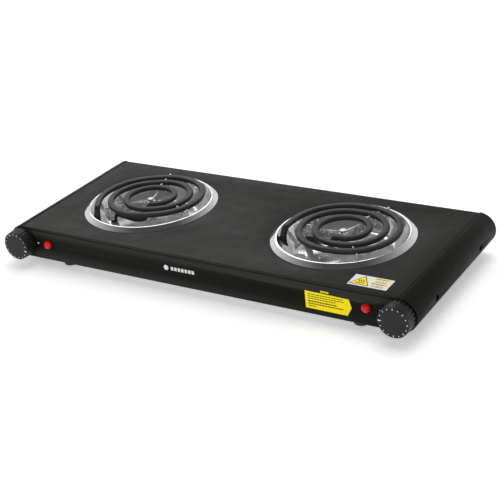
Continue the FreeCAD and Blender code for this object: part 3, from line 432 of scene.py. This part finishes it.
def zinc_sheet():
    """Plain zinc-coated sheet for the underside and the brackets."""
    colour = (0.50, 0.51, 0.52)
    item = Finish("zinc_sheet", colour, 0.38, 1.0)
    rolled = item.noise(2.5 * MM, 3.0, place=item.stretched((0.06, 1.0, 1.0)))
    blotch = item.noise(22 * MM, 3.0)
    item.colour(item.ramp(blotch, (0.3, shade(colour, 0.78)), (0.7, shade(colour, 1.12))))
    item.rough(item.between(rolled, 0.28, 0.5, 0.3, 0.7))
    item.bump(rolled, 0.02 * MM, 0.4)
    return item.material


def plated_steel():
    """Bright zinc-plated fasteners."""
    colour = (0.60, 0.60, 0.61)
    item = Finish("plated_steel", colour, 0.26, 1.0)
    wear = item.noise(1.8 * MM, 4.0)
    item.colour(item.ramp(wear, (0.3, shade(colour, 0.7)), (0.7, shade(colour, 1.15))))
    item.rough(item.between(wear, 0.2, 0.4, 0.3, 0.7))
    item.bump(wear, 0.02 * MM, 0.3)
    return item.material


def bright_foil():
    """Thin aluminium heat shield, lightly crumpled."""
    colour = (0.76, 0.77, 0.78)
    item = Finish("bright_foil", colour, 0.22, 1.0)
    crumple = item.noise(18 * MM, 3.0, 0.55)
    item.rough(item.between(crumple, 0.16, 0.34, 0.3, 0.7))
    item.bump(crumple, 0.4 * MM, 0.5)
    return item.material


def fired_ceramic():
    """Unglazed steatite."""
    colour = (0.74, 0.71, 0.64)
    item = Finish("fired_ceramic", colour, 0.7)
    pores = item.noise(0.6 * MM, 3.0)
    item.colour(item.ramp(pores, (0.3, shade(colour, 0.86)), (0.6, colour)))
    item.bump(pores, 0.03 * MM, 0.6)
    return item.material


def plain_brass():
    colour = (0.66, 0.47, 0.20)
    item = Finish("plain_brass", colour, 0.32, 1.0)
    tarnish = item.noise(2.2 * MM, 3.0)
    item.colour(item.ramp(tarnish, (0.35, shade(colour, 0.62)), (0.65, colour)))
    item.rough(item.between(tarnish, 0.24, 0.46, 0.3, 0.7))
    return item.material


def lead_cover(name, colour):
    """Braided insulation of an internal lead."""
    item = Finish(name, colour, 0.62, Sheen_Weight=0.2)
    weave = item.node("ShaderNodeTexWave", wave_type="BANDS", bands_direction="DIAGONAL")
    weave.inputs["Scale"].default_value = 320.0
    weave.inputs["Distortion"].default_value = 1.2
    item.link(item.place, weave.inputs["Vector"])
    item.colour(item.ramp(weave.outputs["Fac"], (0.2, shade(colour, 0.7)), (0.8, shade(colour, 1.15))))
    item.bump(weave.outputs["Fac"], 0.08 * MM, 0.6)
    return item.material


def foot_rubber():
    colour = (0.018, 0.018, 0.018)
    item = Finish("foot_rubber", colour, 0.78)
    dust = item.noise(3 * MM, 4.0)
    item.colour(item.ramp(dust, (0.35, colour), (0.75, shade(colour, 2.2))))
    item.rough(item.between(dust, 0.68, 0.86, 0.3, 0.7))
    item.bump(item.noise(0.4 * MM), 0.02 * MM, 0.5)
    return item.material


def lamp_red():
    """Moulded red lens, glossy, its red a little uneven."""
    colour = (0.58, 0.006, 0.005)
    item = Finish("lamp_red", colour, 0.2, Specular_IOR_Level=0.3)
    depth = item.noise(3 * MM, 1.0)
    item.colour(item.ramp(depth, (0.35, shade(colour, 0.7)), (0.65, shade(colour, 1.35))))
    item.rough(item.between(depth, 0.08, 0.18, 0.3, 0.7))
    return item.material


def printed(name, colour, roughness=0.4):
    """Ink or label stock with a faint unevenness."""
    item = Finish(name, colour, roughness, Specular_IOR_Level=0.15)
    uneven = item.noise(1.2 * MM, 3.0)
    item.colour(item.ramp(uneven, (0.3, shade(colour, 0.93)), (0.7, colour)))
    item.rough(item.between(uneven, roughness * 0.85, roughness * 1.2, 0.3, 0.7))
    return item.material


def pale_floor(colour):
    """White table with a little light of its own, as a lit sweep has."""
    item = Finish("pale_floor", colour, 0.8, Specular_IOR_Level=0.1)
    uneven = item.noise(80 * MM, 2.0)
    item.colour(item.ramp(uneven, (0.3, shade(colour, 0.99)), (0.7, colour)))
    item.set("Emission Color", (1.0, 1.0, 1.0, 1.0))
    item.set("Emission Strength", 0.35)
    return item.material


# ------------------------------------------------------------------ flat printed shapes

LABEL_STOCK = 0.12 * MM
COLOUR_FILM = 0.03 * MM
LABEL_INK = 0.02 * MM
CASE_INK = 0.04 * MM


def flat_shape(name, corners, place, right, up, thickness):
    """A thin printed shape: a plane bisected along each side of its outline, then extruded."""
    across = [x for x, y in corners]
    along = [y for x, y in corners]
    deselect_all()
    bpy.ops.mesh.primitive_plane_add(size=1.0, location=(0, 0, 0))
    piece = bpy.context.object
    piece.name = name
    bpy.ops.object.mode_set(mode="EDIT")
    size = (max(across) - min(across), max(along) - min(along), 1.0)
    bpy.ops.transform.resize(value=size, center_override=(0, 0, 0))
    centre = ((max(across) + min(across)) / 2, (max(along) + min(along)) / 2, 0.0)
    bpy.ops.transform.translate(value=centre)
    for (x, y), (next_x, next_y) in zip(corners, corners[1:] + corners[:1]):
        if abs(next_x - x) > 1e-7 and abs(next_y - y) > 1e-7:
            bpy.ops.mesh.select_all(action="SELECT")
            away = Vector((next_y - y, x - next_x, 0)).normalized()
            bpy.ops.mesh.bisect(plane_co=(x, y, 0), plane_no=away, clear_outer=True, threshold=0.001 * MM)
    bpy.ops.object.mode_set(mode="OBJECT")
    raise_face(thickness)
    piece.matrix_world = laid_out(place, right, up)
    apply_place(piece)
    return piece


def laid_out(place, right, up):
    """Where a shape drawn flat, with x to the right and y up, comes to lie."""
    return Matrix.Translation(place) @ Matrix((right, up, right.cross(up))).transposed().to_4x4()


def copies(pattern, places):
    """Copies of a piece, each with its own mesh, at these places; the pattern itself goes."""
    made = []
    for place in places:
        piece = pattern.copy()
        piece.data = pattern.data.copy()
        bpy.context.scene.collection.objects.link(piece)
        piece.matrix_world = place
        apply_place(piece)
        made.append(piece)
    bpy.data.objects.remove(pattern)
    return made


def blocks(name, boxes, place, right, up, thickness):
    """Plain printed blocks: one is modelled and the rest are copied from it."""
    pattern = flat_shape(name, box_corners(0, 0, MM, MM), Vector(), RIGHT, BACK, MM)
    lie = laid_out(place, right, up)
    places = []
    for left, low, width, tall in boxes:
        size = Matrix.Diagonal((width / MM, tall / MM, thickness / MM, 1.0))
        places.append(lie @ Matrix.Translation((left, low, 0)) @ size)
    return copies(pattern, places)


def disc_shape(sides, radius, thickness):
    """A filled circle, extruded."""
    deselect_all()
    bpy.ops.mesh.primitive_circle_add(vertices=sides, radius=radius, fill_type="NGON", location=(0, 0, 0))
    raise_face(thickness)
    return bpy.context.object


def box_corners(left, low, right, high):
    return [(left, low), (right, low), (right, high), (left, high)]


def triangle(centre, low, edge):
    """An equal-sided triangle on its base."""
    return [(centre - edge / 2, low), (centre + edge / 2, low), (centre, low + edge * math.sqrt(0.75))]


def word_row(left, right, low, tall, seed):
    """Blocks of uneven length that stand for a line of small print, as left, low, width and height."""
    boxes = []
    step = 0
    while left < right:
        length = (1.6 + 1.9 * abs(math.sin(7.3 * seed + 2.1 * step))) * MM
        boxes.append((left, low, min(length, right - left), tall))
        left += length + 0.55 * MM
        step += 1
    return boxes


def raise_face(thickness):
    """Give the flat shape in hand a thickness."""
    bpy.ops.object.mode_set(mode="EDIT")
    bpy.ops.mesh.select_all(action="SELECT")
    bpy.ops.mesh.extrude_region_move(TRANSFORM_OT_translate={"value": (0, 0, thickness)})
    bpy.ops.mesh.select_all(action="SELECT")
    bpy.ops.mesh.normals_make_consistent(inside=False)
    bpy.ops.object.mode_set(mode="OBJECT")


# ------------------------------------------------------------------ operators


class HOTPLATE_OT_case(Operator):
    """Round the case's sheet edges and coat them"""
    bl_idname = "hotplate.case"
    bl_label = "Case"

    def execute(self, context):
        settings = context.scene.hotplate_case
        top_coat = powder_coat("coat_top", tuple(settings.paint), 0.14, settings.grain)
        # painted shade: the front, rear and side panels take the same paint darkened to 0.76, for the
        # lesser light they catch than the top
        plain = powder_coat("coat_shaded", shade(settings.paint, 0.76), 0.05, settings.grain)
        nodes = ["top_plate", "front_panel", "rear_panel", "side_cover_left", "side_cover_right"]
        for node in nodes:
            edge = settings.bevel * (2.0 if node.startswith("side_cover") else 1.0)
            piece = refined(node, node + "_coated", edge)
            finish(piece, top_coat if node == "top_plate" else plain, "housing", [node])
        return {"FINISHED"}


class HOTPLATE_OT_burners(Operator):
    """Finish the bowls, coils and supports"""
    bl_idname = "hotplate.burners"
    bl_label = "Burners"

    def execute(self, context):
        settings = context.scene.hotplate_burner
        chrome = chrome_plate(settings)
        sheath = oxidised_sheath(settings)
        zinc = spangled_zinc(settings)
        for side in SIDES:
            bowl = refined("drip_bowl_" + side, "bowl_%s_chromed" % side, 0.0)
            finish(bowl, chrome, "housing", ["drip_bowl_" + side])
            coil = self.pressed_coil(settings, side)
            finish(coil, sheath, "housing", ["coil_element_" + side])
            support = refined("coil_support_" + side, "support_%s_spangled" % side, 0.15 * MM)
            finish(support, zinc, "housing", ["coil_support_" + side])
        return {"FINISHED"}

    def pressed_coil(self, settings, side):
        """The heating tube with its level turns pressed flat on top, so that pans sit well."""
        coil = refined("coil_element_" + side, "coil_%s_pressed" % side, 0.0, join=0.0)
        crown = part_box("coil_element_" + side)[1][2]
        waist = crown - settings.press
        activate(coil)
        bpy.ops.object.mode_set(mode="EDIT")
        bpy.ops.mesh.select_mode(type="VERT")
        bpy.ops.mesh.select_all(action="DESELECT")
        bpy.ops.object.mode_set(mode="OBJECT")
        for vertex in coil.data.vertices:
            vertex.select = vertex.co.z > waist
        bpy.ops.object.mode_set(mode="EDIT")
        bpy.ops.transform.resize(value=(1.0, 1.0, 0.2), center_override=(0, 0, waist))
        bpy.ops.object.mode_set(mode="OBJECT")
        smooth(coil, 50.0)
        return coil


class HOTPLATE_OT_knobs(Operator):
    """Finish the knobs and print their scales"""
    bl_idname = "hotplate.knobs"
    bl_label = "Knobs"

    def execute(self, context):
        settings = context.scene.hotplate_knob
        plastic = moulded_plastic("knob_moulding", settings.plastic, 0.42, Specular_IOR_Level=0.25)
        ink = printed("white_ink", tuple(settings.ink))
        for side in SIDES:
            body = "knob_" + side
            knob = refined("knob_" + side, "knob_%s_moulded" % side, 0.12 * MM)
            finish(knob, plastic, body, ["knob_" + side])
            centre = middle("knob_" + side)
            centre.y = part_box("knob_" + side)[0][1]
            scale = self.scale(settings, side, centre)
            finish(scale, ink, body)
        return {"FINISHED"}

    def scale(self, settings, side, centre):
        """Dots, numbers and one long stroke round the face, clockwise from the stroke."""
        start = math.pi if side == "right" else math.radians(-18)
        thickness = CASE_INK
        marks = []
        dots = []
        number = 0
        for step in range(settings.steps):
            angle = start - 2 * math.pi * step / settings.steps
            out = Vector((math.cos(angle), 0, math.sin(angle)))
            across = Vector((-out.z, 0, out.x))
            place = centre + out * settings.scale_radius
            if step == 0:
                shape = box_corners(-1.9 * MM, -0.55 * MM, 1.9 * MM, 0.55 * MM)
                marks.append(flat_shape("stroke", shape, place - out * 0.4 * MM, out, across, thickness))
            elif step % 2 == 0 and step <= 12:
                number += 1
                marks.append(self.digit(str(number), settings.digit_height, place, -across, out, thickness))
            else:
                dots.append(laid_out(place, out, across))
        marks += copies(self.dot(thickness), dots)
        return joined("knob_%s_scale" % side, marks)

    def dot(self, thickness):
        """One round mark."""
        return disc_shape(12, 0.62 * MM, thickness)

    def digit(self, text, height, place, right, up, thickness):
        """A number as a thin solid, its foot towards the knob's centre."""
        deselect_all()
        bpy.ops.object.text_add(location=(0, 0, 0))
        piece = bpy.context.object
        piece.data.body = text
        piece.data.size = height * 1.35
        piece.data.align_x = "CENTER"
        piece.data.align_y = "CENTER"
        piece.data.extrude = thickness
        piece.data.offset = 0.06 * MM
        piece.data.resolution_u = 3
        bpy.ops.object.convert(target="MESH")
        piece.matrix_world = laid_out(place, right, up)
        apply_place(piece)
        return piece


class HOTPLATE_OT_lamps(Operator):
    """Finish the indicator lamps"""
    bl_idname = "hotplate.lamps"
    bl_label = "Lamps"

    def execute(self, context):
        red = lamp_red()
        for side in SIDES:
            dress("lamp_lens_" + side, red)
        return {"FINISHED"}


class HOTPLATE_OT_labels(Operator):
    """Stick the labels on and print the pointers and the plain mark"""
    bl_idname = "hotplate.labels"
    bl_label = "Labels and marks"

    def execute(self, context):
        white = printed("label_white", (0.80, 0.80, 0.80))
        yellow = printed("label_yellow", (1.0, 0.80, 0.0))
        black = printed("label_black", (0.02, 0.02, 0.02))
        ink = printed("panel_ink", (0.75, 0.75, 0.75))
        self.hot_label(white, yellow, black)
        self.front_sticker(yellow, black)
        self.pointers(ink)
        self.plain_mark(ink)
        return {"FINISHED"}

    def hot_label(self, white, yellow, black):
        """Label at the plate's front right corner: a bordered triangle beside two barred notes."""
        right, up = RIGHT, BACK
        place = Vector((187 * MM, FRONT + 8.7 * MM, TOP))
        outline = box_corners(0, 0, 44.6 * MM, 22.4 * MM)
        stock = flat_shape("hot_label", outline, place, right, up, LABEL_STOCK)
        finish(stock, white, "housing")
        layer = Vector((0, 0, LABEL_STOCK))
        middle_x, low = 12.0 * MM, 3.2 * MM
        outer = triangle(middle_x, low - 0.9 * MM, 22.6 * MM)
        border = [flat_shape("border", outer, place + layer, right, up, COLOUR_FILM)]
        layer.z += COLOUR_FILM
        shapes = [
            triangle(middle_x, low, 19.6 * MM),
            box_corners(22.6 * MM, 17.6 * MM, 41.6 * MM, 21.2 * MM),
            box_corners(22.6 * MM, 7.4 * MM, 41.8 * MM, 10.8 * MM),
        ]
        fills = [flat_shape("fill", corners, place + layer, right, up, COLOUR_FILM) for corners in shapes]
        finish(joined("hot_label_yellow", fills), yellow, "housing")
        layer.z += COLOUR_FILM
        boxes = [(middle_x - 5.2 * MM, low + 2.2 * MM, 10.4 * MM, 1.2 * MM)]
        for offset in (-2.6, 0.0, 2.6):
            for lift, lean in ((5.0, 0.5), (7.3, -0.5)):
                x = middle_x + (offset + lean) * MM
                boxes.append((x - 0.55 * MM, low + lift * MM, 1.1 * MM, 2.4 * MM))
        for row in (18.8, 8.5):
            boxes += word_row(25 * MM, 39 * MM, row * MM, 1.2 * MM, row)
        border += blocks("on_yellow", boxes, place + layer, right, up, LABEL_INK)
        layer.z -= COLOUR_FILM
        boxes = []
        for row in (14.6, 12.4, 4.6, 2.6):
            boxes += word_row(26 * MM, 39 * MM, row * MM, 0.7 * MM, row)
        border += blocks("on_white", boxes, place + layer, right, up, LABEL_INK)
        finish(joined("hot_label_black", border), black, "housing")

    def front_sticker(self, yellow, black):
        """Pointed sticker on the front panel, with a dark heading and rows of plain blocks."""
        right, up = RIGHT, UP
        place = Vector((141 * MM, FRONT, UNDER + 6.8 * MM))
        heading = [(0, 20.4 * MM), (49 * MM, 19.4 * MM), (48 * MM, 24.2 * MM), (0, 24.2 * MM)]
        dark = [flat_shape("heading", heading, place, right, up, LABEL_STOCK)]
        tip = (54.6 * MM, 9.6 * MM)
        corners = [(0, 0), (49.4 * MM, -0.4 * MM), tip, (51.8 * MM, 19.4 * MM), (0, 20.4 * MM)]
        fills = [flat_shape("front_sticker", corners, place, right, up, LABEL_STOCK)]
        place = place + Vector((0, -LABEL_STOCK, 0))
        title = word_row(19 * MM, 29 * MM, 21.4 * MM, 1.9 * MM, 1.0)
        fills += blocks("title", title, place, right, up, LABEL_INK)
        finish(joined("front_sticker", fills), yellow, "housing")
        rows = ((16.6, 45.0, 1.0), (14.0, 46.0, 1.0), (11.4, 36.0, 1.0), (8.0, 37.0, 1.4), (5.2, 45.0, 1.3),
                (2.6, 12.0, 1.0))
        boxes = []
        for row, end, tall in rows:
            boxes += word_row(3.4 * MM, end * MM, row * MM, tall * MM, row)
        dark += blocks("word", boxes, place, right, up, LABEL_INK)
        finish(joined("front_sticker_black", dark), black, "housing")

    def pointers(self, ink):
        """Small pointer on the panel beside each knob."""
        right, up = RIGHT, UP
        beside = 21.4 * MM
        pieces = []
        for side in SIDES:
            knob = middle("knob_" + side)
            inward = -1 if knob.x > 0 else 1
            place = Vector((knob.x + inward * beside, FRONT, knob.z + 0.3 * MM))
            corners = [(-1.3 * MM, -1.4 * MM), (1.3 * MM, 0), (-1.3 * MM, 1.4 * MM)]
            if inward > 0:
                corners = [(-x, y) for x, y in corners][::-1]
            pieces.append(flat_shape("pointer", corners, place, right, up, CASE_INK))
        finish(joined("panel_pointers", pieces), ink, "housing")

    def plain_mark(self, ink):
        """A small ring and a row of plain blocks in the middle of the front panel."""
        right, up = RIGHT, UP
        place = Vector((-42 * MM, FRONT, UNDER + 17.7 * MM))
        centre = place + Vector((3.4 * MM, 0, 3.6 * MM))
        disc = copies(disc_shape(24, 3.2 * MM, CASE_INK), [laid_out(centre, right, up)])
        boxes = [(10 * MM + number * 4.7 * MM, 1.2 * MM, 3.4 * MM, 4.4 * MM) for number in range(7)]
        row = blocks("block", boxes, place, right, up, CASE_INK)
        finish(joined("plain_mark", disc + row), ink, "housing")


class HOTPLATE_OT_underside(Operator):
    """Finish the underside, the feet and what is inside the case"""
    bl_idname = "hotplate.underside"
    bl_label = "Underside and inside"

    def execute(self, context):
        zinc = zinc_sheet()
        plated = plated_steel()
        ceramic = fired_ceramic()
        foil = bright_foil()
        brass = plain_brass()
        rubber = foot_rubber()
        nylon = moulded_plastic("natural_nylon", (0.70, 0.69, 0.64), 0.5)
        black = moulded_plastic("black_nylon", (0.02, 0.02, 0.02), 0.45)
        looks = {
            "zinc_sheet": zinc, "fastener_steel": plated, "bush_ceramic": ceramic,
            "thermostat_moulding": ceramic, "shield_sheet": foil, "blade_brass": brass,
            "lamp_plastic": nylon, "gland_plastic": black, "foot_rubber": rubber,
            "lead_brown": lead_cover("lead_brown", (0.16, 0.06, 0.025)),
            "lead_black": lead_cover("lead_black", (0.02, 0.02, 0.02)),
            "lead_blue": lead_cover("lead_blue", (0.03, 0.09, 0.32)),
            "lead_white": lead_cover("lead_white", (0.62, 0.62, 0.58)),
        }
        for subpart in frame["record"]["subparts"]:
            look = looks.get(subpart["material_slot"])
            if look:
                dress(subpart["node"], look)
        return {"FINISHED"}


class HOTPLATE_OT_stage(Operator):
    """Set the floor, the light and the camera"""
    bl_idname = "hotplate.stage"
    bl_label = "Stage"

    def execute(self, context):
        settings = context.scene.hotplate_studio
        self.floor(settings)
        self.camera(settings)
        self.world(settings)
        self.lamp("key_light", (-0.9, 1.1, 1.2), 1.0, settings.key_power, True)
        self.lamp("front_light", (0.5, -1.6, 0.9), 0.8, settings.front_power, True)
        self.lamp("top_light", (0.2, 0.3, 2.2), 1.6, settings.top_power, False)
        context.scene.view_settings.view_transform = "Standard"
        return {"FINISHED"}

    def floor(self, settings):
        deselect_all()
        bpy.ops.mesh.primitive_plane_add(size=12.0, location=(0, 0, -0.0005))
        floor = bpy.context.object
        floor.name = "floor"
        apply_place(floor)
        floor.data.materials.append(pale_floor(tuple(settings.floor)))

    def camera(self, settings):
        deselect_all()
        bpy.ops.object.camera_add(location=tuple(settings.eye))
        camera = bpy.context.object
        look = Euler((math.pi / 2 - settings.elevation, 0, settings.azimuth)).to_matrix()
        camera.rotation_euler = (look @ Matrix.Rotation(settings.roll, 3, "Z")).to_euler()
        camera.data.lens = settings.lens
        camera.data.sensor_width = 36.0
        camera.data.clip_start = 0.05
        camera.data.clip_end = 50.0
        bpy.context.scene.camera = camera

    def world(self, settings):
        """Soft surround: pale at the horizon, dim overhead."""
        world = bpy.data.worlds.new("soft_studio")
        world.use_nodes = True
        tree = world.node_tree
        way = tree.nodes.new("ShaderNodeTexCoord")
        split = tree.nodes.new("ShaderNodeSeparateXYZ")
        ramp = tree.nodes.new("ShaderNodeValToRGB")
        ramp.color_ramp.elements[0].color = tuple(settings.horizon) + (1.0,)
        ramp.color_ramp.elements[1].color = tuple(settings.zenith) + (1.0,)
        ramp.color_ramp.elements[0].position = 0.30
        ramp.color_ramp.elements[1].position = 0.95
        background = tree.nodes["Background"]
        background.inputs["Strength"].default_value = 0.8
        tree.links.new(way.outputs["Generated"], split.inputs["Vector"])
        tree.links.new(split.outputs["Z"], ramp.inputs["Fac"])
        tree.links.new(ramp.outputs["Color"], background.inputs["Color"])
        bpy.context.scene.world = world

    def lamp(self, name, place, size, power, mirrored):
        """A square soft light that faces the object, seen in its bright metal or not."""
        deselect_all()
        bpy.ops.object.light_add(type="AREA", location=place)
        light = bpy.context.object
        light.name = name
        light.data.size = size
        light.data.energy = power
        light.visible_glossy = mirrored
        light.rotation_euler = Vector(place).to_track_quat("Z", "Y").to_euler()


class HOTPLATE_PT_sidebar(Panel):
    """Lists the hot plate's steps"""
    bl_idname = "HOTPLATE_PT_sidebar"
    bl_label = "Hot Plate"
    bl_space_type = "VIEW_3D"
    bl_region_type = "UI"
    bl_category = "Hot Plate"

    def draw(self, context):
        for step in STEPS:
            self.layout.operator(step.bl_idname)


STEPS = (
    HOTPLATE_OT_case,
    HOTPLATE_OT_burners,
    HOTPLATE_OT_knobs,
    HOTPLATE_OT_lamps,
    HOTPLATE_OT_labels,
    HOTPLATE_OT_underside,
    HOTPLATE_OT_stage,
)
GROUPS = {
    "hotplate_case": CaseSettings,
    "hotplate_burner": BurnerSettings,
    "hotplate_knob": KnobSettings,
    "hotplate_studio": StudioSettings,
}


def register():
    for name, group in GROUPS.items():
        bpy.utils.register_class(group)
        setattr(bpy.types.Scene, name, PointerProperty(type=group))
    for item in STEPS + (HOTPLATE_PT_sidebar,):
        bpy.utils.register_class(item)


def unregister():
    for item in reversed(STEPS + (HOTPLATE_PT_sidebar,)):
        bpy.utils.unregister_class(item)
    for name, group in GROUPS.items():
        delattr(bpy.types.Scene, name)
        bpy.utils.unregister_class(group)


def main():
    register()
    for step in STEPS:
        group, name = step.bl_idname.split(".")
        getattr(getattr(bpy.ops, group), name)()


if __name__ == "__main__":
    main()
